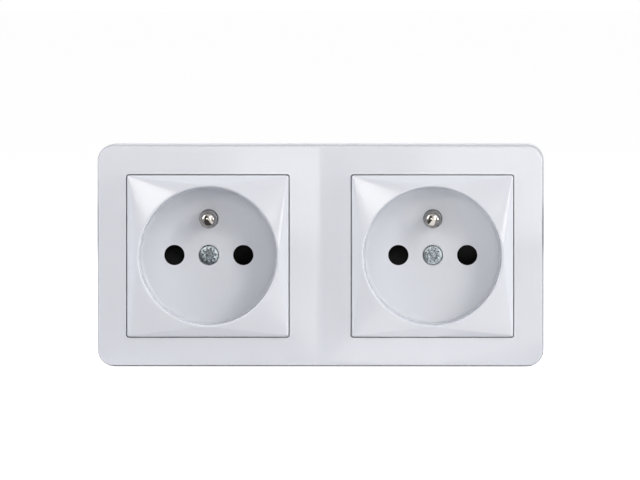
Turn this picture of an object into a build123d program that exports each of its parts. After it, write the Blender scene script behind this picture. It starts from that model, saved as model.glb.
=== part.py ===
from build123d import *
import os

os.makedirs("parts", exist_ok=True)

# Surface-mounted double socket outlet, two pins with an earth pin, 16 A.
# Millimetres. The wall plane is Y = 0 and the room is on the -Y side, X runs to the right and Z up.
# The origin is the centre of the box's back, where it meets the wall.
# Every "level" is a distance in front of the wall.

# Gangs and outline
gang_pitch = 61.8
frame_height = 61.2
frame_corner = 4.6

# Levels of the main layers, measured from the wall
box_rim_level = 30.5
frame_edge_level = 39.2
insert_edge_level = 40.2
rim_level = 41.8

# Box
box_inset = 0.1
box_wall = 2.4
box_back = 2.2
box_edge_round = 0.6
lip_reach = 2.4
lip_clearance = 0.2
boss_radius = 3.3
boss_web = 1.6
pilot_depth = 11.0
slot_inset_x = 14.0
slot_inset_z = 5.6
slot_radius = 2.1
slot_length = 8.0
entry_width = 16.0
entry_height = 12.0
entry_corner = 3.0
entry_offset = 12.0
knockout_radius = 10.0
knockout_groove = 0.8
knockout_skin = 0.9
knockout_level = 15.0

# Frame
frame_dome = 420.0
frame_draft = 3.0
frame_edge_round = 0.4
crease_round = 14.0
frame_skirt = 1.6
frame_skin = 2.2
window_collar = 1.4
window_corner = 0.8
ledge_height = 1.2
ledge_width = 1.5
ledge_level = 33.2

# Socket face
insert_side = 44.4
insert_gap = 0.3
insert_corner = 0.6
insert_edge_round = 0.35
insert_skirt = 1.8
insert_skin = 1.7
cup_depth = 14.8
cup_radius = 19.05
cup_draft = 0.2
cup_wall = 1.4
cup_floor = 2.0
cup_floor_round = 0.8
rim_round = 0.45
rim_flat = 0.1
rim_trim = 0.02

# Plug interface of this socket type
pin_spacing = 19.0
pin_hole_radius = 2.8
earth_offset = 10.0
earth_radius = 2.4
earth_reach = 14.0
earth_clearance = 0.25

# Earth pin below the cup floor
earth_root_radius = 2.2
earth_collar_radius = 3.4
earth_collar_height = 1.5
rivet_radius = 1.5
rivet_head_radius = 2.4
rivet_head_height = 0.9
rivet_fit = 0.02
earth_collar_seat = 0.5
earth_eye_margin = 0.4

# Face screw and its nut
face_screw_radius = 1.6
face_screw_head = 2.65
face_screw_head_height = 1.2
face_screw_round = 0.25
face_screw_seat = 1.0
face_screw_length = 15.0
drive_length = 2.4
drive_width = 0.6
drive_depth = 0.8
screw_clearance = 0.2
head_clearance = 0.1
nut_side = 6.0
nut_height = 2.8
nut_clearance = 0.1

# Mechanism: contact housing behind, cover in front
mechanism_corner = 3.0
housing_back_level = 4.2
housing_front_level = 17.4
cover_front_level = 24.6
chamber_level = 7.0
side_clearance = 0.3
cover_screw_inset = 2.5
cover_screw_radius = 1.1
cover_screw_head = 1.9
cover_screw_head_height = 1.6
cover_screw_length = 12.0
cover_screw_depth = 8.0
support_screw_radius = 1.65
support_screw_head = 3.0
support_screw_head_height = 2.0
support_screw_length = 12.0
ear_radius = 3.6
ear_height = 3.0
ear_clearance = 0.45
ear_overhang = 3.1
ear_arm = 8.6
fit_clearance = 0.05
cut_past = 1.0

# Contacts and terminals
contact_sheet = 0.8
contact_width = 5.0
contact_bend = 0.6
contact_root = 2.0
contact_chamber = 6.0
contact_foot_half = 2.8
contact_grip_half = 2.35
contact_mouth_half = 3.0
contact_grip_level = 14.2
contact_top_level = 16.9
strip_width = 4.0
pad_side = 6.8
terminal_inset = 5.0
terminal_screw_radius = 1.6
terminal_screw_head = 2.9
terminal_screw_head_height = 2.2
terminal_screw_length = 5.6
clamp_gap = 2.4
clamp_height = 1.2
terminal_relief = 1.6
driver_hole_radius = 3.5
wire_hole_radius = 1.25
wire_hole_offset = 2.5
earth_bar_sheet = 1.0

# Shutter and its spring
shutter_tower_radius = 3.2
shutter_bore_clearance = 0.1
shutter_hub_radius = 5.8
shutter_wing_radius = 13.0
shutter_half_angle = 20.0
shutter_travel = 40.0
shutter_stop_angle = 0.6
shutter_floor_level = 20.6
shutter_play = 0.15
shutter_height = 3.8
shutter_thin_edge = 1.0
shutter_ramp_start = -4.5
shutter_ramp_end = 3.2
shutter_lead_in = 2.9
spring_wire = 0.4
spring_radius = 4.5
spring_turns = 3.25
spring_pitch = 0.56
spring_lift = 0.15
leg_clearance = 0.3
spring_leg = 1.1
spring_leg_radius = 0.17
spring_inset = 0.003
spring_groove = 2.3
spring_room = 0.5

# Sizes that follow from the ones above
frame_width = gang_pitch + frame_height
box_width = frame_width - 2 * box_inset
box_height = frame_height - 2 * box_inset
box_corner = frame_corner - box_inset
cavity_width = box_width - 2 * box_wall
cavity_height = box_height - 2 * box_wall
cavity_corner = box_corner - box_wall
lip_inset = frame_skirt + lip_clearance
boss_offset = cavity_height / 2 - ear_clearance - ear_radius
mechanism_side = 2 * (boss_offset - ear_overhang)
terminal_offset = mechanism_side / 2 - terminal_inset
cover_screw_offset = mechanism_side / 2 - cover_screw_inset
window_side = insert_side + 2 * insert_gap
ledge_side = window_side - 2 * ledge_width
collar_side = window_side + 2 * window_collar
cup_floor_level = rim_level - cup_depth
cup_back_level = cup_floor_level - cup_floor
rim_outer_radius = cup_radius + rim_round + rim_flat
earth_hole_radius = earth_radius + earth_clearance
boss_level = housing_front_level - ear_height
pin_x = pin_spacing / 2
earth_bar_top = chamber_level + earth_bar_sheet
face_seat_level = cup_floor_level - face_screw_seat
clamp_level = chamber_level + contact_sheet + clamp_gap
shutter_level = shutter_floor_level + shutter_play
shutter_bore_radius = shutter_tower_radius + shutter_bore_clearance
gang_centres = [(-gang_pitch / 2, 0), (gang_pitch / 2, 0)]
pin_centres = [(-pin_x, 0), (pin_x, 0)]
earth_centre = (0, earth_offset)
line_terminals = [(-pin_x, -terminal_offset), (pin_x, -terminal_offset)]
earth_terminal = (-pin_x, terminal_offset)
terminals = [*line_terminals, earth_terminal]
cover_screws = [(-cover_screw_offset, cover_screw_offset), (cover_screw_offset, -cover_screw_offset)]
ears = [(-boss_offset, -boss_offset), (boss_offset, boss_offset)]


def level(distance):
    """Plane parallel to the wall, this far in front of it and facing the room."""
    return Plane.XZ.offset(distance)


def ring_sector(inner, outer, start, angle):
    """Sector of a flat ring, with its angles in degrees from +X."""
    with BuildSketch() as sector:
        with BuildLine():
            rim = CenterArc((0, 0), outer, start, angle)
            hub = CenterArc((0, 0), inner, start, angle)
            Line(rim @ 0, hub @ 0)
            Line(rim @ 1, hub @ 1)
        make_face()
    return sector.sketch


# Box that screws to the wall
with BuildPart() as back_box:
    with BuildSketch(level(0)):
        RectangleRounded(box_width, box_height, box_corner)
    extrude(amount=box_rim_level)
    fillet(back_box.faces().sort_by(Axis.Y)[-1].edges(), box_edge_round)
    with BuildSketch(level(box_rim_level)):
        RectangleRounded(
            frame_width - 2 * lip_inset, frame_height - 2 * lip_inset, frame_corner - lip_inset
        )
    extrude(amount=lip_reach)
    with BuildSketch(level(box_back)):
        RectangleRounded(cavity_width, cavity_height, cavity_corner)
    extrude(amount=box_rim_level + lip_reach - box_back, mode=Mode.SUBTRACT)
    # Screw bosses, each tied to the nearest long wall by a web
    web_length = cavity_height / 2 - boss_offset
    with BuildSketch(level(box_back)):
        with Locations(*gang_centres):
            with Locations(*ears):
                Circle(boss_radius)
            for ear_x, ear_z in ears:
                side = 1 if ear_z > 0 else -1
                with Locations((ear_x, ear_z + side * web_length / 2)):
                    Rectangle(boss_web, web_length)
    extrude(amount=boss_level - box_back)
    with BuildSketch(level(boss_level)):
        with Locations(*gang_centres):
            with Locations(*ears):
                Circle(support_screw_radius + fit_clearance)
    extrude(amount=-pilot_depth, mode=Mode.SUBTRACT)
    # Wall screw slots and the rear cable entries
    with BuildSketch(level(0)):
        with GridLocations(cavity_width - 2 * slot_inset_x, cavity_height - 2 * slot_inset_z, 2, 2):
            SlotOverall(slot_length, 2 * slot_radius)
        with GridLocations(0, 2 * entry_offset, 1, 2):
            RectangleRounded(entry_width, entry_height, entry_corner)
    extrude(amount=box_back, mode=Mode.SUBTRACT)
    # Knockouts: a ring groove round a thin disc in each side wall
    knockout_planes = [
        Plane((0, -knockout_level, box_height / 2), x_dir=(1, 0, 0), z_dir=(0, 0, 1)),
        Plane((0, -knockout_level, -box_height / 2), x_dir=(1, 0, 0), z_dir=(0, 0, -1)),
        Plane((box_width / 2, -knockout_level, 0), x_dir=(0, 1, 0), z_dir=(1, 0, 0)),
        Plane((-box_width / 2, -knockout_level, 0), x_dir=(0, 1, 0), z_dir=(-1, 0, 0)),
    ]
    with BuildSketch(*knockout_planes):
        Circle(knockout_radius)
        Circle(knockout_radius - knockout_groove, mode=Mode.SUBTRACT)
    extrude(amount=-(box_wall - knockout_skin), mode=Mode.SUBTRACT)

# Front frame: each gang is a shallow dome, and the two meet in a crease
dome_level = frame_edge_level + frame_height**2 / (8 * frame_dome)
with BuildPart() as domes:
    with Locations(*[(x, frame_dome - dome_level, 0) for x, _ in gang_centres]):
        Sphere(frame_dome)

with BuildPart() as frame:
    with BuildSketch(level(box_rim_level)):
        RectangleRounded(frame_width, frame_height, frame_corner)
    extrude(amount=dome_level - box_rim_level, taper=frame_draft)
    add(domes.part, mode=Mode.INTERSECT)
    crease = frame.edges().filter_by(lambda e: abs(e.center().X) < 1e-3 and e.length > frame_height / 2)
    fillet(crease.sort_by(Axis.Y)[0], crease_round)
    front_edges = frame.edges().filter_by(lambda e: e.center().Y < -box_rim_level - frame_skirt)
    outer_edges = front_edges.filter_by(
        lambda e: abs(e.center().X) > frame_width / 2 - frame_corner
        or abs(e.center().Z) > frame_height / 2 - frame_corner
    ).filter_by(lambda e: abs(e.tangent_at(0.5).Y) < 0.5)
    fillet(outer_edges, frame_edge_round)
    # Hollow behind the face, leaving a skirt round the outside and a collar round each window
    with BuildSketch(level(box_rim_level)):
        RectangleRounded(
            frame_width - 2 * frame_skirt,
            frame_height - 2 * frame_skirt,
            frame_corner - frame_skirt,
        )
    extrude(amount=frame_edge_level - frame_skin - box_rim_level, mode=Mode.SUBTRACT)
    with BuildSketch(level(ledge_level - ledge_height)):
        with Locations(*gang_centres):
            RectangleRounded(collar_side, collar_side, window_corner + window_collar)
    extrude(amount=frame_edge_level - frame_skin - ledge_level + ledge_height)
    with BuildSketch(level(ledge_level)):
        with Locations(*gang_centres):
            RectangleRounded(window_side, window_side, window_corner)
    extrude(amount=dome_level - ledge_level, mode=Mode.SUBTRACT)
    with BuildSketch(level(ledge_level)):
        with Locations(*gang_centres):
            RectangleRounded(ledge_side, ledge_side, window_corner)
    extrude(amount=-ledge_height, mode=Mode.SUBTRACT)

# Socket face: square at the edge, round at the rim, with the plug's cup sunk in it
with BuildPart() as socket_face:
    with BuildSketch(level(ledge_level)):
        RectangleRounded(insert_side, insert_side, insert_corner)
    extrude(amount=insert_edge_level - insert_edge_round - ledge_level)
    # Small bevel round the square edge
    with BuildSketch(level(insert_edge_level - insert_edge_round)):
        RectangleRounded(insert_side, insert_side, insert_corner)
    with BuildSketch(level(insert_edge_level)):
        RectangleRounded(
            insert_side - 2 * insert_edge_round,
            insert_side - 2 * insert_edge_round,
            insert_corner - insert_edge_round,
        )
    loft(ruled=True)
    # Four flat triangles and four cones lead from the square to the round rim
    with BuildSketch(level(insert_edge_level)):
        RectangleRounded(
            insert_side - 2 * insert_edge_round,
            insert_side - 2 * insert_edge_round,
            insert_corner - insert_edge_round,
        )
    with BuildSketch(level(rim_level)):
        RectangleRounded(2 * rim_outer_radius, 2 * rim_outer_radius, rim_outer_radius - rim_trim)
    loft(ruled=True)
    with BuildSketch(level(cup_back_level)):
        Circle(cup_radius + cup_wall)
    extrude(amount=ledge_level - cup_back_level)
    # Hollows behind the four corners
    with BuildSketch(level(ledge_level)):
        RectangleRounded(
            insert_side - 2 * insert_skirt, insert_side - 2 * insert_skirt, insert_corner
        )
        Circle(cup_radius + cup_wall, mode=Mode.SUBTRACT)
    extrude(amount=insert_edge_level - insert_skin - ledge_level, mode=Mode.SUBTRACT)
    # The cup, turned about the socket's axis: floor, drafted wall and rounded rim
    with BuildSketch(Plane.XY):
        with BuildLine():
            floor_corner = (cup_radius - cup_draft, -cup_floor_level)
            wall_top = (cup_radius, rim_round - rim_level)
            FilletPolyline((0, -cup_floor_level), floor_corner, wall_top, radius=cup_floor_round)
            CenterArc((cup_radius + rim_round, rim_round - rim_level), rim_round, 180, 90)
            Polyline(
                (cup_radius + rim_round, -rim_level),
                (cup_radius + rim_round, -rim_level - cut_past),
                (0, -rim_level - cut_past),
                (0, -cup_floor_level),
            )
        make_face()
    revolve(axis=Axis.Y, mode=Mode.SUBTRACT)
    with Locations(level(cup_floor_level)):
        CounterBoreHole(
            face_screw_radius + screw_clearance,
            face_screw_head + screw_clearance,
            face_screw_seat,
            depth=2 * cup_floor,
        )
        with Locations(*pin_centres):
            Hole(pin_hole_radius, depth=2 * cup_floor)
        with Locations(earth_centre):
            Hole(earth_hole_radius, depth=2 * cup_floor)

# Rear half of the mechanism: chambers for the contacts, open to the front
with BuildPart() as contact_housing:
    with BuildSketch(level(housing_back_level)):
        RectangleRounded(mechanism_side, mechanism_side, mechanism_corner)
    extrude(amount=housing_front_level - housing_back_level)
    # Ears on two corners, for the screws into the box
    with BuildSketch(level(boss_level)):
        with Locations(*ears):
            Circle(ear_radius)
        for ear_x, ear_z in ears:
            with Locations(Location((ear_x, ear_z), -45 if ear_x > 0 else 135)):
                Rectangle(2 * ear_radius, ear_arm, align=(Align.CENTER, Align.MAX))
    extrude(amount=ear_height)
    with Locations(level(housing_front_level)):
        with Locations(*ears):
            Hole(support_screw_radius + screw_clearance, depth=2 * ear_height)
        with Locations(*cover_screws):
            Hole(cover_screw_radius + fit_clearance, depth=cover_screw_depth)
        Hole(face_screw_radius + screw_clearance, depth=housing_front_level - chamber_level)
    with BuildSketch(level(chamber_level)):
        # Contact chambers and the channels down to their terminals
        for pin_centre_x, _ in pin_centres:
            with Locations((pin_centre_x, 0)):
                Rectangle(2 * (contact_mouth_half + contact_sheet / 2 + side_clearance), contact_chamber)
            with Locations((pin_centre_x, -terminal_offset / 2)):
                Rectangle(strip_width + 2 * side_clearance, terminal_offset)
        with Locations(*terminals):
            Rectangle(pad_side + 2 * side_clearance, pad_side + 2 * side_clearance)
        # Earth chamber, from the pin across to the earth terminal
        with Locations(earth_centre):
            Circle(earth_collar_radius + side_clearance)
        with Locations((-pin_x / 2, (earth_offset + terminal_offset) / 2)):
            Rectangle(pin_x, terminal_offset - earth_offset + strip_width)
    extrude(amount=housing_front_level - chamber_level, mode=Mode.SUBTRACT)
    with BuildSketch(level(housing_front_level)):
        Rectangle(nut_side + 2 * nut_clearance, nut_side + 2 * nut_clearance)
    extrude(amount=-nut_height, mode=Mode.SUBTRACT)
    # Reliefs under the terminal screws and the pin's rivet
    with Locations(level(chamber_level)):
        with Locations(*terminals):
            Hole(terminal_screw_radius + side_clearance, depth=terminal_relief)
        with Locations(earth_centre):
            Hole(rivet_head_radius + side_clearance, depth=rivet_head_height + screw_clearance)
    # Two wire entries to each terminal, through the lower and upper sides
    wire_level = chamber_level + contact_sheet + wire_hole_radius
    for terminal_x, terminal_z in terminals:
        side = 1 if terminal_z > 0 else -1
        entry_plane = Plane(
            (terminal_x, -wire_level, side * mechanism_side / 2), x_dir=(1, 0, 0), z_dir=(0, 0, side)
        )
        with Locations(entry_plane):
            with GridLocations(2 * wire_hole_offset, 0, 2, 1):
                Hole(wire_hole_radius, depth=mechanism_side / 2 - terminal_offset)

# Front half of the mechanism: keeps the contacts in and carries the shutter
with BuildPart() as mechanism_cover:
    with BuildSketch(level(housing_front_level)):
        RectangleRounded(mechanism_side, mechanism_side, mechanism_corner)
    extrude(amount=cover_front_level - housing_front_level)
    stop = shutter_half_angle + shutter_stop_angle
    with BuildSketch(level(shutter_floor_level)):
        Circle(shutter_hub_radius + side_clearance)
        for turn in (0, 180):
            recess_radius = shutter_wing_radius + side_clearance
            add(ring_sector(shutter_tower_radius, recess_radius, turn - stop, shutter_travel + 2 * stop))
        Circle(shutter_tower_radius, mode=Mode.SUBTRACT)
    extrude(amount=cover_front_level - shutter_floor_level, mode=Mode.SUBTRACT)
    # Groove for the spring round the tower, with a hole for its lower leg
    with BuildSketch(level(shutter_floor_level)):
        Circle(spring_radius + spring_wire + spring_room)
        Circle(shutter_tower_radius, mode=Mode.SUBTRACT)
    extrude(amount=-spring_groove, mode=Mode.SUBTRACT)
    with Locations(level(cover_front_level)):
        Hole(face_screw_radius + screw_clearance)
        with Locations(earth_centre):
            Hole(earth_root_radius + fit_clearance)
        with Locations(*terminals):
            Hole(driver_hole_radius)
        with Locations(*cover_screws):
            CounterBoreHole(
                cover_screw_radius + fit_clearance,
                cover_screw_head + head_clearance,
                cover_screw_head_height,
            )
    with Locations(level(shutter_floor_level)):
        with Locations(*pin_centres):
            Hole(shutter_lead_in)
        with Locations((0, -spring_radius)):
            Hole(spring_wire / 2 + leg_clearance, depth=shutter_floor_level - housing_front_level)
    # Pocket under the cover for the earth pin's collar
    with BuildSketch(level(housing_front_level)):
        with Locations(earth_centre):
            Circle(earth_collar_radius + fit_clearance)
    extrude(amount=earth_collar_height, mode=Mode.SUBTRACT)

# Contact clip: a folded strip with two sprung tines and a flat pad for the terminal
with BuildPart() as contact:
    foot_level = chamber_level + contact_sheet / 2
    with BuildSketch(Plane.XY.offset(-contact_width / 2)):
        with BuildLine():
            right = [
                (contact_foot_half, -foot_level),
                (contact_foot_half, -foot_level - contact_root),
                (contact_grip_half, -contact_grip_level),
                (contact_mouth_half, -contact_top_level),
            ]
            left = [(-x, y) for x, y in reversed(right)]
            FilletPolyline(*left, *right, radius=contact_bend)
        trace(line_width=contact_sheet)
    extrude(amount=contact_width)
    with BuildSketch(level(chamber_level)):
        with Locations((0, -terminal_offset / 2)):
            Rectangle(strip_width, terminal_offset)
        with Locations((0, -terminal_offset)):
            Rectangle(pad_side, pad_side)
            Circle(terminal_screw_radius + fit_clearance, mode=Mode.SUBTRACT)
    extrude(amount=contact_sheet)

# Earth bar: joins the pin to the earth terminal
with BuildPart() as earth_bar:
    with BuildSketch(level(chamber_level)):
        with Locations(earth_centre):
            Circle(earth_collar_radius - earth_eye_margin)
        with Locations((-pin_x / 2, (earth_offset + terminal_offset) / 2)):
            Rectangle(pin_x, strip_width)
        with Locations(earth_terminal):
            Rectangle(pad_side, pad_side)
            Circle(terminal_screw_radius + fit_clearance, mode=Mode.SUBTRACT)
        with Locations(earth_centre):
            Circle(rivet_radius + rivet_fit, mode=Mode.SUBTRACT)
    extrude(amount=earth_bar_sheet)

# Earth pin, turned: round tip, shank, undercut root, collar and rivet
with BuildPart() as earth_pin:
    tip_level = cup_floor_level + earth_reach
    with BuildSketch(Plane.XY):
        with BuildLine():
            Polyline(
                (0, rivet_head_height - chamber_level),
                (rivet_head_radius, rivet_head_height - chamber_level),
                (rivet_head_radius, -chamber_level),
                (rivet_radius, -chamber_level),
                (rivet_radius, -earth_bar_top),
                (earth_root_radius, -earth_bar_top),
                (earth_root_radius, -housing_front_level + earth_collar_seat),
                (earth_collar_radius, -housing_front_level + earth_collar_seat),
                (earth_collar_radius, -housing_front_level - earth_collar_height),
                (earth_root_radius, -housing_front_level - earth_collar_height),
                (earth_root_radius, -cup_floor_level),
                (earth_radius, -cup_floor_level),
                (earth_radius, earth_radius - tip_level),
            )
            CenterArc((0, earth_radius - tip_level), earth_radius, 0, -90)
            Line((0, -tip_level), (0, rivet_head_height - chamber_level))
        make_face()
    revolve(axis=Axis.Y)

# Shutter: two ramped wings on a hub, turning on the cover's tower
with BuildPart() as shutter:
    with BuildSketch(level(shutter_level)):
        for turn in (0, 180):
            wing_start = turn - shutter_half_angle
            add(ring_sector(shutter_bore_radius, shutter_wing_radius, wing_start, 2 * shutter_half_angle))
    extrude(amount=shutter_height)
    # The plug's pins press on these slopes and turn the shutter aside
    ramp_reach = shutter_wing_radius - shutter_hub_radius + cut_past
    ramp_top = -shutter_level - shutter_height
    for turn in (0, 180):
        ramp_plane = Plane.YZ.rotated((0, -turn, 0)).offset(shutter_hub_radius)
        with BuildSketch(ramp_plane):
            with BuildLine():
                Polyline(
                    (-shutter_level - shutter_thin_edge, shutter_ramp_start),
                    (ramp_top, shutter_ramp_end),
                    (ramp_top - cut_past, shutter_ramp_end),
                    (ramp_top - cut_past, shutter_ramp_start),
                    close=True,
                )
            make_face()
        extrude(amount=ramp_reach, mode=Mode.SUBTRACT)
    with BuildSketch(level(shutter_level)):
        Circle(shutter_hub_radius)
    extrude(amount=shutter_height)
    with Locations(level(shutter_level + shutter_height)):
        Hole(shutter_bore_radius)
    with Locations(level(shutter_level + spring_leg)):
        with Locations((spring_radius, 0)):
            Hole(spring_wire / 2 + leg_clearance, depth=spring_leg)

# Torsion spring round the tower, with a straight leg at each end
with BuildPart() as shutter_spring:
    coil_level = shutter_floor_level - spring_groove + spring_wire / 2 + spring_lift
    with BuildLine() as coil_path:
        coil = Helix(
            pitch=spring_pitch,
            height=spring_turns * spring_pitch,
            radius=spring_radius,
            center=(0, -coil_level, 0),
            direction=(0, -1, 0),
        )
    with BuildSketch(Plane(coil @ 0, z_dir=coil % 0)):
        Circle(spring_wire / 2)
    sweep(path=coil_path, is_frenet=True)
    for turn_share, outward in ((spring_inset, 1), (1 - spring_inset, -1)):
        with BuildSketch(Plane(coil @ turn_share, z_dir=(0, outward, 0))):
            Circle(spring_leg_radius)
        extrude(amount=spring_leg)

# Face screw: low head with a cross slot, and its shank
with BuildPart() as face_screw:
    with BuildSketch(level(face_seat_level)):
        Circle(face_screw_head)
    extrude(amount=face_screw_head_height)
    fillet(face_screw.faces().sort_by(Axis.Y)[0].edges(), face_screw_round)
    with BuildSketch(level(face_seat_level)):
        Circle(face_screw_radius)
    extrude(amount=-face_screw_length)
    with BuildSketch(level(face_seat_level + face_screw_head_height)):
        for turn in (45, 135):
            Rectangle(drive_length, drive_width, rotation=turn)
    extrude(amount=-drive_depth, mode=Mode.SUBTRACT)

# Square nut for the face screw
with BuildPart() as face_nut:
    with BuildSketch(level(housing_front_level - nut_height)):
        Rectangle(nut_side, nut_side)
        Circle(face_screw_radius + fit_clearance, mode=Mode.SUBTRACT)
    extrude(amount=nut_height)

# Screws that join the two halves of the mechanism
with BuildPart() as cover_screw_set:
    with BuildSketch(level(cover_front_level - cover_screw_head_height)):
        with Locations(*cover_screws):
            Circle(cover_screw_head)
    extrude(amount=cover_screw_head_height)
    with BuildSketch(level(cover_front_level - cover_screw_head_height)):
        with Locations(*cover_screws):
            Circle(cover_screw_radius)
    extrude(amount=-cover_screw_length)

# Screws from the mechanism's ears into the box
with BuildPart() as support_screw_set:
    with BuildSketch(level(housing_front_level)):
        with Locations(*ears):
            Circle(support_screw_head)
    extrude(amount=support_screw_head_height)
    with BuildSketch(level(housing_front_level)):
        with Locations(*ears):
            Circle(support_screw_radius)
    extrude(amount=-support_screw_length)

# Terminal screws
clamp_front_level = clamp_level + clamp_height
with BuildPart() as terminal_screw_set:
    with BuildSketch(level(clamp_front_level)):
        with Locations(*terminals):
            Circle(terminal_screw_head)
    extrude(amount=terminal_screw_head_height)
    with BuildSketch(level(clamp_front_level)):
        with Locations(*terminals):
            Circle(terminal_screw_radius)
    extrude(amount=-terminal_screw_length)

# Wire clamps under the terminal screws
with BuildPart() as terminal_clamp_set:
    with BuildSketch(level(clamp_level)):
        with Locations(*terminals):
            Rectangle(pad_side, pad_side)
            Circle(terminal_screw_radius + fit_clearance, mode=Mode.SUBTRACT)
    extrude(amount=clamp_height)

# Labels and files: the box and frame once, everything else once in each gang
for name, piece in (("back_box", back_box), ("frame", frame)):
    piece.part.label = name
    export_step(piece.part, f"parts/{name}.step")

gang_pieces = [
    ("socket_face", socket_face, 0, 0),
    ("contact_housing", contact_housing, 0, 0),
    ("mechanism_cover", mechanism_cover, 0, 0),
    ("line_contact", contact, pin_x, 0),
    ("neutral_contact", contact, -pin_x, 0),
    ("earth_bar", earth_bar, 0, 0),
    ("earth_pin", earth_pin, 0, earth_offset),
    ("shutter", shutter, 0, 0),
    ("shutter_spring", shutter_spring, 0, 0),
    ("face_screw", face_screw, 0, 0),
    ("face_nut", face_nut, 0, 0),
    ("cover_screws", cover_screw_set, 0, 0),
    ("support_screws", support_screw_set, 0, 0),
    ("terminal_screws", terminal_screw_set, 0, 0),
    ("terminal_clamps", terminal_clamp_set, 0, 0),
]
for side, (gang_x, gang_z) in zip(("left", "right"), gang_centres):
    for name, piece, offset_x, offset_z in gang_pieces:
        with BuildPart() as placed:
            with Locations((gang_x + offset_x, 0, gang_z + offset_z)):
                add(piece.part)
        placed.part.label = f"{name}_{side}"
        export_step(placed.part, f"parts/{name}_{side}.step")
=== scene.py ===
"""Looks of a double surface-mounted socket outlet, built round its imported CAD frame."""

import logging
import math
from dataclasses import dataclass, field
from enum import Enum

import bpy
import numpy as np
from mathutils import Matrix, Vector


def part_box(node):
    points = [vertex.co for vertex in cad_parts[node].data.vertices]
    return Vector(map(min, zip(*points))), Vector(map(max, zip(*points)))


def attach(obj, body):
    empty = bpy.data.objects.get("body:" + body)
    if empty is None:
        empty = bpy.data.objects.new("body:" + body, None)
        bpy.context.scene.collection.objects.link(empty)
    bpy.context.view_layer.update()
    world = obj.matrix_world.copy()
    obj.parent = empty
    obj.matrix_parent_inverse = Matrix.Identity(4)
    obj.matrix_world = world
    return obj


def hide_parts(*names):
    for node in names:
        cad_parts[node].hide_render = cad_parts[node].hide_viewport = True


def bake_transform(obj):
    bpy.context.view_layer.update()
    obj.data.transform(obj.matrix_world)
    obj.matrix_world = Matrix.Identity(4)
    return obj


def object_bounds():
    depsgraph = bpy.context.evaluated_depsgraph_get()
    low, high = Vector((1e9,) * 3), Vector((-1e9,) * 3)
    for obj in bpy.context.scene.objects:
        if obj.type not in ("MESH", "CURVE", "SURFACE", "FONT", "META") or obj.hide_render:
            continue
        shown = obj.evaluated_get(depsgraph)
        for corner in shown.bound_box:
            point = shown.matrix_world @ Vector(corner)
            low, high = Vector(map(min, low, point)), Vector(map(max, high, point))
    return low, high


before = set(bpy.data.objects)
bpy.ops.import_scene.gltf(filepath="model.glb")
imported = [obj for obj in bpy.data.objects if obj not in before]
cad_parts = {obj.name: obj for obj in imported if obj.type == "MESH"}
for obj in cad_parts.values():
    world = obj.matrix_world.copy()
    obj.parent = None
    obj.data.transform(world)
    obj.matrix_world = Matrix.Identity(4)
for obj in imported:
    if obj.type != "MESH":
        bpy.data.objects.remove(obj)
CAD_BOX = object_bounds()

MM = 0.001
# The outlet stands on its lower long side.
FLOOR_LEVEL = float(np.array(CAD_BOX)[0, 2])
LOG = logging.getLogger("socket_outlet")


class Side(Enum):
    """The two gangs, named as seen from the front."""

    LEFT = "left"
    RIGHT = "right"

    @property
    def centre(self) -> float:
        """X of the gang's axis, which is the middle of its socket face, in metres."""
        low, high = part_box(f"socket_face_{self.value}")
        return (low[0] + high[0]) / 2


class Drive(Enum):
    """Recess in the head of a screw."""

    CROSS = "cross"
    COMBINED = "cross with one long arm"


# ---- Materials


def linear(hex_colour: str) -> tuple[float, float, float, float]:
    """Turns an sRGB hex colour into the linear colour that a shader socket takes.

    Args:
        hex_colour: Colour as "#RRGGBB".

    Returns:
        Red, green, blue in linear light, and an alpha of 1.
    """
    values = [int(hex_colour[i : i + 2], 16) / 255 for i in (1, 3, 5)]
    values = [v / 12.92 if v <= 0.04045 else ((v + 0.055) / 1.055) ** 2.4 for v in values]
    return (*values, 1.0)


def add_node(
    tree: bpy.types.NodeTree,
    kind: str,
    settings: dict[str | int, object] | None = None,
    links: dict[str | int, bpy.types.NodeSocket] | None = None,
) -> bpy.types.Node:
    """Adds a node with its settings and links.

    Args:
        tree: Node tree that gets the node.
        kind: Blender's name for the node's type.
        settings: Values of the node's properties by name, or of its inputs by name or number.
        links: Output sockets of other nodes, by the name or number of the input they feed.

    Returns:
        The new node.
    """
    node = tree.nodes.new(kind)
    for name, value in (settings or {}).items():
        if isinstance(name, str) and hasattr(node, name):
            setattr(node, name, value)
        else:
            node.inputs[name].default_value = value
    for name, source in (links or {}).items():
        tree.links.new(source, node.inputs[name])
    return node


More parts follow.
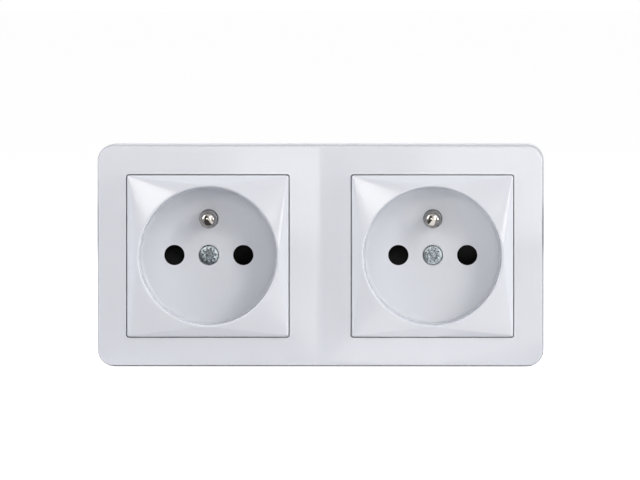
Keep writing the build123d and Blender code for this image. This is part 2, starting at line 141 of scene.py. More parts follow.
@dataclass(frozen=True)
class MouldedPlastic:
    """Injection-moulded plastic: even colour, fine orange peel, and a gloss that varies a little.

    Attributes:
        name: Name of the material.
        colour: Main colour.
        shade: Slightly darker colour of the faint cloudiness in the resin.
        roughness: Mean roughness of the skin.
        peel_mm: Size of the ripples that the mould leaves.
        peel: Strength of the ripples.
        grain_mm: Size of a spark-eroded grain, or 0 for a polished mould.
        shine: Strength of the reflection, where 0.5 is that of plain resin.
    """

    name: str
    colour: str
    shade: str
    roughness: float = 0.25
    peel_mm: float = 1.6
    peel: float = 0.02
    grain_mm: float = 0.0
    shine: float = 0.5

    def build(self) -> bpy.types.Material:
        """Makes the material.

        Returns:
            A node material on Object coordinates.
        """
        material = bpy.data.materials.new(self.name)
        material.use_nodes = True
        tree = material.node_tree
        shader = tree.nodes["Principled BSDF"]
        place = add_node(tree, "ShaderNodeTexCoord").outputs["Object"]
        cloud = add_node(tree, "ShaderNodeTexNoise", {"Scale": 1 / (14 * MM), "Detail": 2.0}, {"Vector": place})
        colour = add_node(
            tree,
            "ShaderNodeMix",
            {"data_type": "RGBA", 6: linear(self.shade), 7: linear(self.colour)},
            {0: cloud.outputs["Fac"]},
        )
        tree.links.new(colour.outputs[2], shader.inputs["Base Color"])
        gloss = add_node(
            tree,
            "ShaderNodeMapRange",
            {"To Min": self.roughness * 0.9, "To Max": self.roughness * 1.1},
            {"Value": cloud.outputs["Fac"]},
        )
        tree.links.new(gloss.outputs["Result"], shader.inputs["Roughness"])
        ripple = add_node(
            tree, "ShaderNodeTexNoise", {"Scale": 1 / (self.peel_mm * MM), "Detail": 1.0}, {"Vector": place}
        )
        bump = add_node(
            tree,
            "ShaderNodeBump",
            {"Strength": self.peel, "Distance": 0.2 * MM},
            {"Height": ripple.outputs["Fac"]},
        )
        if self.grain_mm:
            grain = add_node(
                tree, "ShaderNodeTexVoronoi", {"Scale": 1 / (self.grain_mm * MM)}, {"Vector": place}
            )
            bump = add_node(
                tree,
                "ShaderNodeBump",
                {"Strength": 0.25, "Distance": 0.1 * MM},
                {"Height": grain.outputs["Distance"], "Normal": bump.outputs["Normal"]},
            )
        tree.links.new(bump.outputs["Normal"], shader.inputs["Normal"])
        shader.inputs["IOR"].default_value = 1.5
        shader.inputs["Specular IOR Level"].default_value = self.shine
        return material


@dataclass(frozen=True)
class WorkedMetal:
    """Plated or bare metal: a cast of two tones, and the fine lines of its turning, rolling or drawing.

    Attributes:
        name: Name of the material.
        colour: Lighter tone.
        shade: Darker tone of the plating's patches.
        roughness: Mean roughness.
        patch_mm: Size of the patches.
        line_mm: Spacing of the worked lines, drawn coarse enough to show.
        line: Strength of the lines.
        lines_along: Scale of the lines on X, Y and Z; a large value is across them.
    """

    name: str
    colour: str
    shade: str
    roughness: float = 0.25
    patch_mm: float = 1.2
    line_mm: float = 0.12
    line: float = 0.05
    lines_along: tuple[float, float, float] = (0.1, 1.0, 0.1)

    def build(self) -> bpy.types.Material:
        """Makes the material.

        Returns:
            A node material on Object coordinates.
        """
        material = bpy.data.materials.new(self.name)
        material.use_nodes = True
        tree = material.node_tree
        shader = tree.nodes["Principled BSDF"]
        place = add_node(tree, "ShaderNodeTexCoord").outputs["Object"]
        patch = add_node(
            tree, "ShaderNodeTexNoise", {"Scale": 1 / (self.patch_mm * MM), "Detail": 3.0}, {"Vector": place}
        )
        share = add_node(
            tree, "ShaderNodeMapRange", {"From Min": 0.35, "From Max": 0.65}, {"Value": patch.outputs["Fac"]}
        )
        colour = add_node(
            tree,
            "ShaderNodeMix",
            {"data_type": "RGBA", 6: linear(self.shade), 7: linear(self.colour)},
            {0: share.outputs["Result"]},
        )
        tree.links.new(colour.outputs[2], shader.inputs["Base Color"])
        gloss = add_node(
            tree,
            "ShaderNodeMapRange",
            {"To Min": self.roughness * 0.8, "To Max": self.roughness * 1.25},
            {"Value": patch.outputs["Fac"]},
        )
        tree.links.new(gloss.outputs["Result"], shader.inputs["Roughness"])
        spread = add_node(tree, "ShaderNodeMapping", {}, {"Vector": place})
        spread.inputs["Scale"].default_value = self.lines_along
        lines = add_node(
            tree,
            "ShaderNodeTexNoise",
            {"Scale": 1 / (self.line_mm * MM), "Detail": 1.0},
            {"Vector": spread.outputs["Vector"]},
        )
        bump = add_node(
            tree,
            "ShaderNodeBump",
            {"Strength": self.line, "Distance": 0.05 * MM},
            {"Height": lines.outputs["Fac"]},
        )
        tree.links.new(bump.outputs["Normal"], shader.inputs["Normal"])
        shader.inputs["Metallic"].default_value = 1.0
        return material


# Urea moulding of the frame and faces: cool white, from a polished mould.
UREA_WHITE = MouldedPlastic("moulded_urea_white", "#F2F4F9", "#EFF1F6", roughness=0.11)
# ABS moulding of the wall box: the same white from a slightly duller mould.
ABS_WHITE = MouldedPlastic("moulded_abs_white", "#F0F1F5", "#ECEDF1", roughness=0.34, grain_mm=0.35)
# Glass-filled polyamide of the mechanism: grey and matt.
POLYAMIDE_GREY = MouldedPlastic("moulded_polyamide_grey", "#A9ADB0", "#9FA3A6", roughness=0.5, grain_mm=0.25)
# Polyamide of the shutters: black resin, painted darker and given less shine than plain black resin, as painted
# shade that makes the pin holes look black.
POLYAMIDE_BLACK_HOLE_SHADE = MouldedPlastic(
    "polyamide_black_painted_hole_shade", "#060606", "#050505", roughness=0.6, grain_mm=0.3, shine=0.15
)
# Nickel plating on turned brass: a warm bright grey with lathe lines round the pin.
NICKEL_PLATED_BRASS = WorkedMetal("nickel_plated_brass", "#B2AEA8", "#9B9791", roughness=0.09, patch_mm=2.0)
# Zinc plating on steel: a bluish grey with small dull spangles.
ZINC_PLATED_STEEL = WorkedMetal("zinc_plated_steel", "#A5ADB2", "#6C7378", roughness=0.27, patch_mm=0.5, line=0.1)
# Rolled brass strip of the contacts.
BRASS_STRIP = WorkedMetal("rolled_brass_strip", "#D0A458", "#BE9249", roughness=0.28, lines_along=(1.0, 0.1, 0.1))
# Drawn spring wire.
SPRING_STEEL = WorkedMetal("drawn_spring_steel", "#8E9092", "#76787A", roughness=0.3, patch_mm=0.4)


class Finishes:
    """The materials, made once each and handed out by finish."""

    def __init__(self) -> None:
        """Starts with no material made."""
        self._made: dict[str, bpy.types.Material] = {}

    def of(self, finish: MouldedPlastic | WorkedMetal) -> bpy.types.Material:
        """Gives the material of a finish.

        Args:
            finish: The finish wanted.

        Returns:
            Its material, made on first use.
        """
        if finish.name not in self._made:
            self._made[finish.name] = finish.build()
        return self._made[finish.name]


# ---- Surfaces


@dataclass
class Surface:
    """A closed surface as arrays.

    Attributes:
        points: Corner positions, one row each, in metres.
        quads: Rows of four corner numbers.
        triangles: Rows of three corner numbers.
    """

    points: np.ndarray
    quads: np.ndarray
    triangles: np.ndarray

    def moved(self, x: float, y: float, z: float) -> "Surface":
        """Gives a copy of the surface in another place.

        Args:
            x: Distance along X.
            y: Distance along Y.
            z: Distance along Z.

        Returns:
            The moved copy.
        """
        return Surface(self.points + np.array([x, y, z]), self.quads, self.triangles)


def joined(surfaces: list[Surface]) -> Surface:
    """Puts several surfaces into one.

    Args:
        surfaces: The surfaces, which don't share corners.

    Returns:
        One surface with all their corners and faces.
    """
    starts = np.cumsum([0] + [len(s.points) for s in surfaces[:-1]])
    return Surface(
        np.concatenate([s.points for s in surfaces]),
        np.concatenate([s.quads + start for s, start in zip(surfaces, starts)]),
        np.concatenate([s.triangles + start for s, start in zip(surfaces, starts)]),
    )


def closed(rings: np.ndarray, ends: np.ndarray) -> Surface:
    """Closes rings of points into a solid.

    Four neighbours of the grid make a face, the last column joins the first, and a fan to a
    single point closes each end.

    Args:
        rings: Points by row, column and coordinate.
        ends: The point before the first row and the one after the last.

    Returns:
        The closed surface.
    """
    rows, columns = rings.shape[:2]
    column = np.arange(columns)
    after = (column + 1) % columns
    row = np.arange(rows - 1)[:, None] * columns
    quads = np.stack([row + column, row + after, row + columns + after, row + columns + column], axis=-1)
    last_row = (rows - 1) * columns
    first = np.stack([np.full(columns, rows * columns), after, column], axis=-1)
    last = np.stack([np.full(columns, rows * columns + 1), last_row + column, last_row + after], axis=-1)
    return Surface(np.concatenate([rings.reshape(-1, 3), ends]), quads.reshape(-1, 4), np.concatenate([first, last]))


def turned(radius: np.ndarray, height: np.ndarray, start: float, end: float) -> Surface:
    """Closes a grid of radii round the Y axis into a solid of nearly round section.

    The point of row i and column j stands at angle t = 2 pi j / columns, at
    (radius cos t, height, radius sin t). A single point closes each end.

    Args:
        radius: Radius by row and column.
        height: Y by row and column; rows run towards -Y.
        start: Y of the point that closes the first row.
        end: Y of the point that closes the last row.

    Returns:
        The closed surface, with its faces outwards.
    """
    angle = np.linspace(0, 2 * math.pi, radius.shape[1], endpoint=False)[None, :]
    rings = np.stack([radius * np.cos(angle), height, radius * np.sin(angle)], axis=-1)
    return closed(rings, np.array([[0, start, 0], [0, end, 0]]))


def shown(name: str, surface: Surface, material: bpy.types.Material, smooth_deg: float = 35.0) -> bpy.types.Object:
    """Makes an object of a surface.

    Args:
        name: Name of the piece.
        surface: The surface.
        material: Material of the whole piece.
        smooth_deg: Edges sharper than this stay crisp.

    Returns:
        The object, at the origin.
    """
    mesh = bpy.data.meshes.new(name)
    mesh.from_pydata(surface.points.tolist(), [], surface.quads.tolist() + surface.triangles.tolist())
    mesh.validate()
    mesh.materials.append(material)
    mesh.shade_smooth()
    mesh.set_sharp_from_angle(angle=math.radians(smooth_deg))
    piece = bpy.data.objects.new(name, mesh)
    bpy.context.scene.collection.objects.link(piece)
    return piece


# ---- Pieces


@dataclass(frozen=True)
class Screw:
    """A screw with its head towards -Y, the head's underside at Y = 0.

    Attributes:
        head_radius: Radius of the head.
        head_height: Height of the head.
        edge_round: Radius of the head's rounded edge.
        shank_radius: Outer radius of the thread.
        shank_length: Length under the head.
        pitch: Distance from thread to thread.
        dome: Height of the crown of the head.
        drive: Recess in the head.
        drive_reach: Distance from the axis to the end of a slot's arm.
        drive_width: Width of a slot.
        drive_depth: Depth of the recess.
        drive_wall: Distance over which the recess's walls slope.
        turn: Angle at which the screw came to rest, in degrees.
        ring_radius: Radius of a raised ring on the head, or 0 for none.
        ring_height: Height of the ring.
        ring_width: Half width of the ring.
        marks: Number of plain cold-forged marks round the head.
        mark_offset: Distance of the marks outside the ring.
        mark_height: Height of the marks.
        mark_width: Half width of a mark.
        columns: Points round the screw.
        head_rows: Points from the head's edge to its axis.
    """

    head_radius: float
    head_height: float
    shank_radius: float
    shank_length: float
    pitch: float = 0.7 * MM
    dome: float = 0.15 * MM
    edge_round: float = 0.25 * MM
    drive: Drive = Drive.CROSS
    drive_reach: float = 1.7 * MM
    drive_width: float = 0.7 * MM
    drive_depth: float = 0.8 * MM
    drive_wall: float = 0.12 * MM
    turn: float = 0.0
    ring_radius: float = 0.0
    ring_height: float = 0.12 * MM
    ring_width: float = 0.16 * MM
    marks: int = 0
    mark_offset: float = 0.5 * MM
    mark_height: float = 0.14 * MM
    mark_width: float = 0.2 * MM
    columns: int = 48
    head_rows: int = 24

    def recess(self, x: np.ndarray, z: np.ndarray) -> np.ndarray:
        """Depth of the drive recess over the head.

        Each arm is a slot with sloping walls, and the deepest arm counts. A combined recess has
        one shallower arm right across the head.

        Args:
            x: X over the head.
            z: Z over the head.

        Returns:
            Depth at each point.
        """
        share = np.zeros_like(x)
        for arm in (0, 90):
            angle = math.radians(self.turn + arm)
            along = np.abs(x * math.cos(angle) + z * math.sin(angle))
            across = np.abs(z * math.cos(angle) - x * math.sin(angle))
            is_long = self.drive is Drive.COMBINED and arm == 0
            reach, depth = (self.head_radius, 0.6) if is_long else (self.drive_reach, 1.0)
            inside = np.minimum(self.drive_width / 2 - across, reach - along)
            share = np.maximum(share, depth * np.clip(inside / self.drive_wall + 0.5, 0, 1))
        return share * self.drive_depth

    def relief(self, x: np.ndarray, z: np.ndarray) -> np.ndarray:
        """Height of the ring and the marks over the head.

        The ring is a bell curve of the radius. The marks are a flat-topped one further out,
        times a bell curve of the distance from the nearest mark's middle line.

        Args:
            x: X over the head.
            z: Z over the head.

        Returns:
            Height at each point.
        """
        radius = np.hypot(x, z)
        height = np.zeros_like(radius)
        if self.ring_radius:
            height = height + self.ring_height * np.exp(-(((radius - self.ring_radius) / self.ring_width) ** 2))
        if self.marks:
            step = 2 * math.pi / self.marks
            angle = np.arctan2(z, x) - math.radians(self.turn)
            off = ((angle + step / 2) % step - step / 2) * radius
            band = np.exp(-(((radius - self.ring_radius - self.mark_offset) / self.mark_width) ** 4))
            height = height + self.mark_height * band * np.exp(-((off / self.mark_width) ** 2))
        return height

    def surface(self) -> Surface:
        """Builds the screw.

        Rows run from the tip up the thread, out under the head, round its edge and in over its
        crown. On the thread the radius is the outer one less a triangle wave of
        (height / pitch - angle / full turn), fading out under the head, and the shank narrows
        at its tip. Over the head the height is the crown's less the recess, plus the relief.

        Returns:
            The closed surface.
        """
        rows_per_thread, cut_share, run_out, point_length = 8, 0.55, 6, 0.6 * MM
        angle = np.linspace(0, 2 * math.pi, self.columns, endpoint=False)[None, :]
        thread_rows = max(int(self.shank_length / self.pitch * rows_per_thread), 24)
        y_thread = np.linspace(self.shank_length, 0.02 * MM, thread_rows)[:, None]
        phase = (y_thread / self.pitch - angle / (2 * math.pi)) % 1
        wave = np.abs(2 * phase - 1)
        depth = cut_share * self.pitch * np.clip((y_thread / self.shank_length) * run_out, 0, 1)
        point = np.clip((self.shank_length - y_thread) / point_length, 0.55, 1)
        r_thread = (self.shank_radius - depth * wave) * point
        edge = np.linspace(0, math.pi / 2, 5)[:, None]
        edge_radius = self.head_radius - self.edge_round
        y_edge = -(self.head_height - self.edge_round - self.dome)
        bend = self.head_radius - self.edge_round * (1 - np.cos(edge))
        r_head = np.concatenate([[[self.shank_radius], [self.head_radius]], bend])
        y_head = np.concatenate([[[0.0], [0.0]], y_edge - self.edge_round * np.sin(edge)])
        r_top = np.linspace(edge_radius, 0.03 * MM, self.head_rows)[1:, None]
        crown = self.dome * (1 - (r_top / edge_radius) ** 2)
        x, z = r_top * np.cos(angle), r_top * np.sin(angle)
        y_top = -(self.head_height - self.dome) - crown - self.relief(x, z) + self.recess(x, z)
        flat = np.ones_like(angle)
        radius = np.concatenate([r_thread, r_head * flat, r_top * flat])
        height = np.concatenate([y_thread * flat, y_head * flat, y_top])
        tip = -self.head_height + float(self.recess(np.zeros(1), np.zeros(1))[0])
        return turned(radius, height, self.shank_length, tip)


@dataclass
class EarthPin:
    """Turned earth pin with a round tip, a collar and a riveted end.

    Attributes:
        outline: Distance in front of the wall and radius of each corner of the profile, in mm.
        tip_level: Distance of the tip in front of the wall, in mm.
        radius: Radius of the shank, in mm.
        columns: Points round the pin.
    """

    tip_level: float = 41.0
    radius: float = 2.4
    columns: int = 96
    outline: tuple[tuple[float, float], ...] = (
        (6.1, 0.6),
        (6.1, 2.3),
        (6.2, 2.4),
        (7.0, 2.4),
        (7.0, 1.5),
        (8.0, 1.5),
        (8.0, 2.2),
        (16.9, 2.2),
        (16.9, 3.4),
        (18.9, 3.4),
        (18.9, 2.2),
        (27.0, 2.2),
        (27.0, 2.4),
    )

    def surface(self) -> Surface:
        """Builds the pin about the Y axis.

        The profile is the outline, then a quarter circle of the shank's radius to the tip.

        Returns:
            The closed surface.
        """
        quarter = np.linspace(0, math.pi / 2, 28)[:-1]
        level = np.concatenate([[p[0] for p in self.outline], self.tip_level - self.radius * (1 - np.sin(quarter))])
        radius = np.concatenate([[p[1] for p in self.outline], self.radius * np.cos(quarter)])
        flat = np.ones((1, self.columns))
        rear = -self.outline[0][0] * MM
        return turned(radius[:, None] * MM * flat, -level[:, None] * MM * flat, rear, -self.tip_level * MM)


@dataclass(frozen=True)
class TorsionSpring:
    """Wire spring that turns the shutter shut, with a straight leg at each end.

    Attributes:
        wire_radius: Radius of the wire.
        coil_radius: Radius of the coil's middle line.
        leg: Length of each leg.
        start: Angle of the leg in the mechanism, in degrees.
        sweep: Angle from one leg to the other, in degrees.
        columns: Points round the wire.
    """

    wire_radius: float = 0.2 * MM
    coil_radius: float = 4.5 * MM
    leg: float = 1.1 * MM
    start: float = -86.5
    sweep: float = 1163.0
    columns: int = 12

    def surface(self, near: float, far: float) -> Surface:
        """Sweeps the wire about the Y axis.

        The middle line lies on a cylinder: on the coil its angle and its distance from the wall
        grow together, and on the legs only the distance does. A running mean over three points
        rounds the bends between them. Each ring of points is the wire's circle, square to the
        line.

        Args:
            near: Distance of the first leg's end in front of the wall.
            far: Distance of the last leg's end.

        Returns:
            The closed surface.
        """
        coil, leg = np.linspace(0, 1, 260), np.linspace(0, 1, 10, endpoint=False)
        coil_length = far - near - 2 * self.leg
        turn = np.concatenate([0 * leg, coil, 0 * leg + 1])
        level = np.concatenate(
            [near + self.leg * leg, near + self.leg + coil_length * coil, far - self.leg * leg[::-1]]
        )
        mean = np.ones(3) / 3
        turn, level = (np.convolve(np.pad(run, 1, mode="edge"), mean, mode="valid") for run in (turn, level))
        angle = np.radians(self.start + self.sweep * turn)
        out = np.stack([np.cos(angle), 0 * angle, np.sin(angle)], axis=1)
        line = self.coil_radius * out - level[:, None] * np.array([0.0, 1.0, 0.0])
        along = np.gradient(line, axis=0)
        along /= np.linalg.norm(along, axis=1)[:, None]
        across = np.cross(along, out)
        around = np.linspace(0, 2 * math.pi, self.columns, endpoint=False)[None, :, None]
        rings = line[:, None] + self.wire_radius * (np.cos(around) * out[:, None] + np.sin(around) * across[:, None])
        return closed(rings, line[[0, -1]])


@dataclass
class Gang:
    """One socket of the outlet, with the metal pieces that are made finer than their CAD nodes.

    Attributes:
        side: Which gang it is.
        finishes: The shared materials.
        face_turn: Angle at which the face screw came to rest, in degrees.
        pin: Form of the earth pin.
    """

    side: Side
    finishes: Finishes
    face_turn: float
    pin: EarthPin = field(default_factory=EarthPin)

    def node(self, name: str) -> bpy.types.Object:
        """Gives the CAD node of this gang.

        Args:
            name: Node's name without its side.

        Returns:
            The node's object.
        """
        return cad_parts[f"{name}_{self.side.value}"]

    def face_screw(self) -> Surface:
        """Makes the screw that holds the socket face, with a small cross and a ring of plain marks.

        Returns:
            The screw in its place.
        """
        screw = Screw(
            head_radius=2.65 * MM,
            head_height=1.2 * MM,
            shank_radius=1.6 * MM,
            shank_length=15 * MM,
            drive_reach=1.1 * MM,
            drive_width=0.62 * MM,
            turn=self.face_turn,
            ring_radius=1.3 * MM,
            marks=11,
            columns=144,
            head_rows=64,
        )
        return self.set_of_screws("face_screw", screw, ((0, 0),))

    def cover_screws(self) -> Surface:
        """Makes the two screws that join the halves of the mechanism.

        Returns:
            The screws in their places.
        """
        screw = Screw(
            head_radius=1.9 * MM,
            head_height=1.6 * MM,
            shank_radius=1.1 * MM,
            shank_length=12 * MM,
            pitch=0.5 * MM,
            drive_reach=1.1 * MM,
            drive_width=0.5 * MM,
            turn=25.0,
        )
        return self.set_of_screws("cover_screws", screw, ((-1, 1), (1, -1)))

    def support_screws(self) -> Surface:
        """Makes the two screws that hold the mechanism to the box.

        Returns:
            The screws in their places.
        """
        screw = Screw(
            head_radius=3.0 * MM,
            head_height=2.0 * MM,
            shank_radius=1.65 * MM,
            shank_length=12 * MM,
            pitch=0.9 * MM,
            dome=0.4 * MM,
            turn=10.0,
        )
        return self.set_of_screws("support_screws", screw, ((-1, -1), (1, 1)))

    def terminal_screws(self) -> Surface:
        """Makes the three terminal screws, slotted and crossed.

        Returns:
            The screws in their places.
        """
        screw = Screw(
            head_radius=2.9 * MM,
            head_height=2.2 * MM,
            shank_radius=1.6 * MM,
            shank_length=5.6 * MM,
            drive=Drive.COMBINED,
            turn=70.0,
        )
        return self.set_of_screws("terminal_screws", screw, ((-1, -1), (1, -1), (-1, 1)))

    def set_of_screws(self, name: str, screw: Screw, corners: tuple[tuple[int, int], ...]) -> Surface:
        """Puts a screw in each corner of a node's box where the node has one.

        Args:
            name: Node's name without its side.
            screw: The screw.
            corners: Sides of the box, -1 or 1 along X and Z, and 0 for the middle.

        Returns:
            The screws as one surface, each head's front level with the front of the box.
        """
        low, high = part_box(f"{name}_{self.side.value}")
        reach_x, reach_z = (high[0] - low[0]) / 2 - screw.head_radius, (high[2] - low[2]) / 2 - screw.head_radius
        x, z = (low[0] + high[0]) / 2, (low[2] + high[2]) / 2
        seat = low[1] + screw.head_height
        return joined(
            [screw.surface().moved(x + side_x * reach_x, seat, z + side_z * reach_z) for side_x, side_z in corners]
        )

    def earth_pin(self) -> Surface:
        """Makes the earth pin in its place."""
        low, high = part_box(f"earth_pin_{self.side.value}")
        return self.pin.surface().moved(self.side.centre, 0, (low[2] + high[2]) / 2)

    def shutter_spring(self) -> bpy.types.Object:
        """Makes the shutter's spring in its resting coil; the real one winds up as the shutter turns.

        Returns:
            The piece, coiled between the outlet and the shutter and standing for its node.
        """
        name = f"shutter_spring_{self.side.value}"
        low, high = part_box(name)
        spring = TorsionSpring()
        surface = spring.surface(-high[1], -low[1]).moved(self.side.centre, 0, 0)
        piece = shown(f"{name}_fine", surface, self.finishes.of(SPRING_STEEL))
        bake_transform(piece)
        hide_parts(name)
        return piece

    def build(self) -> list[bpy.types.Object]:
        """Makes the gang's own pieces.

        Returns:
            The pieces, the screws and the earth pin riding on the outlet's body, and all standing for their nodes.
        """
        pieces = []
        for label, surface, finish in (
            ("face_screw", self.face_screw(), ZINC_PLATED_STEEL),
            ("cover_screws", self.cover_screws(), ZINC_PLATED_STEEL),
            ("support_screws", self.support_screws(), ZINC_PLATED_STEEL),
            ("terminal_screws", self.terminal_screws(), ZINC_PLATED_STEEL),
            ("earth_pin", self.earth_pin(), NICKEL_PLATED_BRASS),
        ):
            name = f"{label}_{self.side.value}"
            piece = shown(f"{name}_fine", surface, self.finishes.of(finish))
            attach(piece, "outlet")
            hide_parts(name)
            pieces.append(piece)
        pieces.append(self.shutter_spring())
        for piece in pieces:
            LOG.info("piece %s: %d corners", piece.name, len(piece.data.vertices))
        return pieces

    def dress(self) -> None:
        """Gives the gang's CAD nodes their finishes."""
        for name, finish in {
            "socket_face": UREA_WHITE,
            "contact_housing": POLYAMIDE_GREY,
            "mechanism_cover": POLYAMIDE_GREY,
            # The shutters' near black is partly painted shade in the pin holes.
            "shutter": POLYAMIDE_BLACK_HOLE_SHADE,
            "shutter_spring": SPRING_STEEL,
            "line_contact": BRASS_STRIP,
            "neutral_contact": BRASS_STRIP,
            "earth_bar": BRASS_STRIP,
            "face_nut": ZINC_PLATED_STEEL,
            "cover_screws": ZINC_PLATED_STEEL,
            "support_screws": ZINC_PLATED_STEEL,
            "terminal_screws": ZINC_PLATED_STEEL,
            "terminal_clamps": ZINC_PLATED_STEEL,
            "face_screw": ZINC_PLATED_STEEL,
            "earth_pin": NICKEL_PLATED_BRASS,
        }.items():
            dress_node(self.node(name), self.finishes.of(finish))


def dress_node(node: bpy.types.Object, material: bpy.types.Material) -> None:
    """Gives a CAD node a material in each of its slots.

    Args:
        node: The node's object.
        material: The material.
    """
    for slot in node.material_slots:
        slot.material = material


@dataclass
class Housing:
    """The wall box and the front frame, which both gangs share."""

    finishes: Finishes

    def dress(self) -> None:
        """Gives the box and the frame their finishes."""
        dress_node(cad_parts["back_box"], self.finishes.of(ABS_WHITE))
        dress_node(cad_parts["frame"], self.finishes.of(UREA_WHITE))


# ---- Studio


def direction(azimuth: float, elevation: float) -> np.ndarray:
    """Gives the direction from the outlet to a place in front of it.

    Args:
        azimuth: Angle to the right of straight in front, in degrees.
        elevation: Angle above level, in degrees.

    Returns:
        Unit vector.
    """
    turn, rise = math.radians(azimuth), math.radians(elevation)
    return np.array([math.sin(turn) * math.cos(rise), -math.cos(turn) * math.cos(rise), math.sin(rise)])


def looking_back(azimuth: float, elevation: float) -> tuple[float, float, float]:
    """Turns the -Z of a camera or lamp that stands in a direction back towards the outlet.

    Args:
        azimuth: Angle of its place to the right of straight in front, in degrees.
        elevation: Angle of its place above level, in degrees.

    Returns:
        Euler angles, with the X of the camera or lamp level.
    """
    return (math.pi / 2 - math.radians(elevation), 0.0, math.radians(azimuth))


# Light of the lamps near the camera, and of the ones far to the side.
WARM_WHITE = "#FFFDF6"
COOL_WHITE = "#F5F6FF"
# Corners of a card: each one's angle to the right of straight in front, in degrees, its
# distance from the outlet and its height.
Corners = tuple[tuple[float, float, float], ...]


@dataclass(frozen=True)
class Softbox:
    """An oblong lamp that faces the outlet.

    Attributes:
        name: Name of the lamp.
        azimuth: Angle of its middle to the right of straight in front, in degrees.
        elevation: Angle of its middle above level, in degrees.
        width: Angle that its width covers, seen from the outlet, in degrees.
        height: Angle that its height covers, seen from the outlet, in degrees.
        radiance: Brightness of its face, where white paper in full light is 1.
        colour: Colour of its light.
        distance: Distance from the outlet.
    """

    name: str
    azimuth: float
    elevation: float
    width: float
    height: float
    radiance: float
    colour: str
    distance: float = 1.5

    def build(self) -> bpy.types.Object:
        """Makes the lamp.

        A lamp of power P and area A has a face of radiance P / (pi A).

        Returns:
            The lamp's object.
        """
        light = bpy.data.lights.new(self.name, "AREA")
        light.shape = "RECTANGLE"
        light.size = 2 * self.distance * math.tan(math.radians(self.width) / 2)
        light.size_y = 2 * self.distance * math.tan(math.radians(self.height) / 2)
        light.energy = self.radiance * math.pi * light.size * light.size_y
        light.color = linear(self.colour)[:3]
        lamp = bpy.data.objects.new(self.name, light)
        lamp.location = direction(self.azimuth, self.elevation) * self.distance
        lamp.rotation_euler = looking_back(self.azimuth, self.elevation)
        bpy.context.scene.collection.objects.link(lamp)
        return lamp


@dataclass(frozen=True)
class Card:
    """A flat card beside the picture that only the outlet's gloss mirrors.

    Attributes:
        name: Name of the card.
        corners: Its corners, in order round the card.
        radiance: Brightness of its face, where white paper in full light is 1.
    """

    name: str
    corners: Corners
    radiance: float

    def build(self) -> bpy.types.Object:
        """Makes the card.

        Returns:
            The card's object.
        """
        face = bpy.data.materials.new(self.name)
        face.use_nodes = True
        face.node_tree.nodes.clear()
        glow = add_node(face.node_tree, "ShaderNodeEmission", {"Strength": self.radiance})
        add_node(face.node_tree, "ShaderNodeOutputMaterial", {}, {"Surface": glow.outputs[0]})
        places = [(*(direction(azimuth, 0.0) * away)[:2].tolist(), z) for azimuth, away, z in self.corners]
        mesh = bpy.data.meshes.new(self.name)
        mesh.from_pydata(places, [], [(0, 1, 2, 3)])
        mesh.materials.append(face)
        card = bpy.data.objects.new(self.name, mesh)
        card.visible_camera = False
        card.visible_diffuse = False
        card.visible_shadow = False
        bpy.context.scene.collection.objects.link(card)
        return card


def standing(left: float, right: float, high: float, away: float = 2.5) -> Corners:
    """Gives the corners of a card that stands just above the floor.

    Args:
        left: Azimuth of its left edge, in degrees.
        right: Azimuth of its right edge, in degrees.
        high: Height of its top edge.
        away: Distance from the outlet.

    Returns:
        Its corners.
    """
    low = FLOOR_LEVEL + 4.6 * MM
    return ((left, away, low), (right, away, low), (right, away, high), (left, away, high))


def lying(left: float, right: float, near: float, far: float) -> Corners:
    """Gives the corners of a card that lies on the floor.

    Args:
        left: Azimuth of its left edge, in degrees.
        right: Azimuth of its right edge, in degrees.
        near: Distance of its near edge from the outlet.
        far: Distance of its far edge.

    Returns:
        Its corners.
    """
    level = FLOOR_LEVEL + 1.0 * MM
    return ((left, near, level), (left, far, level), (right, far, level), (right, near, level))


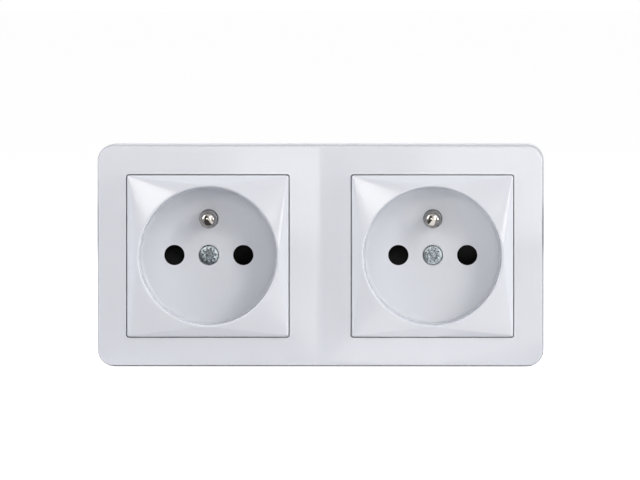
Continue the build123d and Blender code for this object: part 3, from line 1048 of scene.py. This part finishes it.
@dataclass
class Studio:
    """Camera, lamps, world and floor.

    Attributes:
        azimuth: Camera's angle to the right of straight in front, in degrees.
        elevation: Camera's angle above level, in degrees.
        distance: Camera's distance from its aim.
        aim: Point at the centre of the picture.
        width_at_aim: Width that the picture covers at the aim.
        sensor_width: Width of the camera's sensor, in millimetres.
        paper_glow: Strength that lifts the floor to the white of the background.
        lamps: The lamps.
        cards: The cards that the outlet's gloss mirrors.
    """

    azimuth: float = 0.75
    elevation: float = 1.15
    distance: float = 4.6
    aim: tuple[float, float, float] = (-0.22 * MM, -27.0 * MM, 4.16 * MM)
    width_at_aim: float = 176.6 * MM
    sensor_width: float = 36.0
    paper_glow: float = 0.985
    lamps: tuple[Softbox, ...] = (
        Softbox("key", 32.5, 14.5, 15.0, 27.0, 5.2, WARM_WHITE),
        Softbox("high_right", 57.0, 38.0, 65.0, 28.0, 1.9, COOL_WHITE),
        Softbox("side_right", 84.0, 10.0, 24.0, 18.0, 6.5, COOL_WHITE),
        Softbox("side_left", -78.0, 32.0, 34.0, 44.0, 3.8, COOL_WHITE),
        Softbox("front_left", -17.1, 12.0, 15.8, 8.0, 6.6, WARM_WHITE),
        Softbox("over_camera", -4.6, 12.0, 9.2, 8.0, 2.6, WARM_WHITE),
        Softbox("front_right", 8.0, 4.5, 16.0, 9.0, 2.5, WARM_WHITE),
        Softbox("behind", 180.0, 20.0, 60.0, 20.0, 1.3, COOL_WHITE),
    )
    cards: tuple[Card, ...] = (
        Card("card_left", standing(-48.0, -7.0, 2.9), 0.1),
        Card("card_by_camera", standing(-7.0, -1.5, 0.26), 0.1),
        Card("card_lying_left", lying(-48.0, -1.5, 0.045, 2.4), 0.12),
        Card("card_lying_right", lying(1.5, 40.0, 0.045, 1.4), 1.8),
        Card("card_behind", standing(150.0, 210.0, 1.2), 0.5),
    )

    def build(self) -> None:
        """Makes the whole studio."""
        self.build_camera()
        self.build_world()
        self.build_floor()
        for lamp in self.lamps:
            lamp.build()
        for card in self.cards:
            card.build()

    def build_camera(self) -> bpy.types.Object:
        """Makes the camera at the photograph's angle.

        Returns:
            The camera's object.
        """
        camera = bpy.data.cameras.new("camera")
        camera.sensor_width = self.sensor_width
        camera.lens = self.sensor_width * self.distance / self.width_at_aim
        camera.clip_start = 0.1
        camera.clip_end = 20.0
        holder = bpy.data.objects.new("camera", camera)
        holder.location = np.array(self.aim) + direction(self.azimuth, self.elevation) * self.distance
        holder.rotation_euler = looking_back(self.azimuth, self.elevation)
        bpy.context.scene.collection.objects.link(holder)
        bpy.context.scene.camera = holder
        return holder

    def build_world(self) -> None:
        """Makes a dark room whose background is white to the camera and in what mirrors it."""
        world = bpy.data.worlds.new("studio")
        world.use_nodes = True
        tree = world.node_tree
        tree.nodes.clear()
        path = add_node(tree, "ShaderNodeLightPath")
        direct = add_node(
            tree,
            "ShaderNodeMath",
            {"operation": "MAXIMUM"},
            {0: path.outputs["Is Camera Ray"], 1: path.outputs["Is Transmission Ray"]},
        )
        seen = add_node(
            tree,
            "ShaderNodeMath",
            {"operation": "MAXIMUM"},
            {0: direct.outputs[0], 1: path.outputs["Is Glossy Ray"]},
        )
        room = add_node(tree, "ShaderNodeBackground", {"Strength": 0.0})
        white = add_node(tree, "ShaderNodeBackground", {"Color": linear("#FFFFFF"), "Strength": 1.0})
        mixed = add_node(
            tree,
            "ShaderNodeMixShader",
            {},
            {0: seen.outputs[0], 1: room.outputs[0], 2: white.outputs[0]},
        )
        add_node(tree, "ShaderNodeOutputWorld", {}, {"Surface": mixed.outputs[0]})
        bpy.context.scene.world = world

    def build_floor(self) -> bpy.types.Object:
        """Makes the plain pale floor.

        Returns:
            The floor's object.
        """
        material = bpy.data.materials.new("studio_paper")
        material.use_nodes = True
        tree = material.node_tree
        tree.nodes.clear()
        path = add_node(tree, "ShaderNodeLightPath")
        paper = add_node(tree, "ShaderNodeBsdfDiffuse", {"Color": linear("#E8E8E8")})
        strength = add_node(
            tree, "ShaderNodeMath", {"operation": "MULTIPLY", 1: self.paper_glow}, {0: path.outputs["Is Camera Ray"]}
        )
        glow = add_node(tree, "ShaderNodeEmission", {}, {"Strength": strength.outputs[0]})
        both = add_node(tree, "ShaderNodeAddShader", {}, {0: paper.outputs[0], 1: glow.outputs[0]})
        add_node(tree, "ShaderNodeOutputMaterial", {}, {"Surface": both.outputs[0]})
        mesh = bpy.data.meshes.new("floor")
        half = 40.0
        corners = [(x, y, FLOOR_LEVEL) for x, y in ((-half, -half), (half, -half), (half, half), (-half, half))]
        mesh.from_pydata(corners, [], [(0, 1, 2, 3)])
        mesh.materials.append(material)
        floor = bpy.data.objects.new("floor", mesh)
        bpy.context.scene.collection.objects.link(floor)
        return floor


def main() -> None:
    """Builds the outlet's looks and its studio."""
    logging.basicConfig(level=logging.INFO, format="%(name)s: %(message)s")
    finishes = Finishes()
    Housing(finishes).dress()
    for side, face_turn in ((Side.LEFT, 38.0), (Side.RIGHT, 62.0)):
        gang = Gang(side, finishes, face_turn)
        gang.dress()
        gang.build()
    Studio().build()
    bpy.context.scene.view_settings.view_transform = "Standard"


if __name__ == "__main__":
    main()
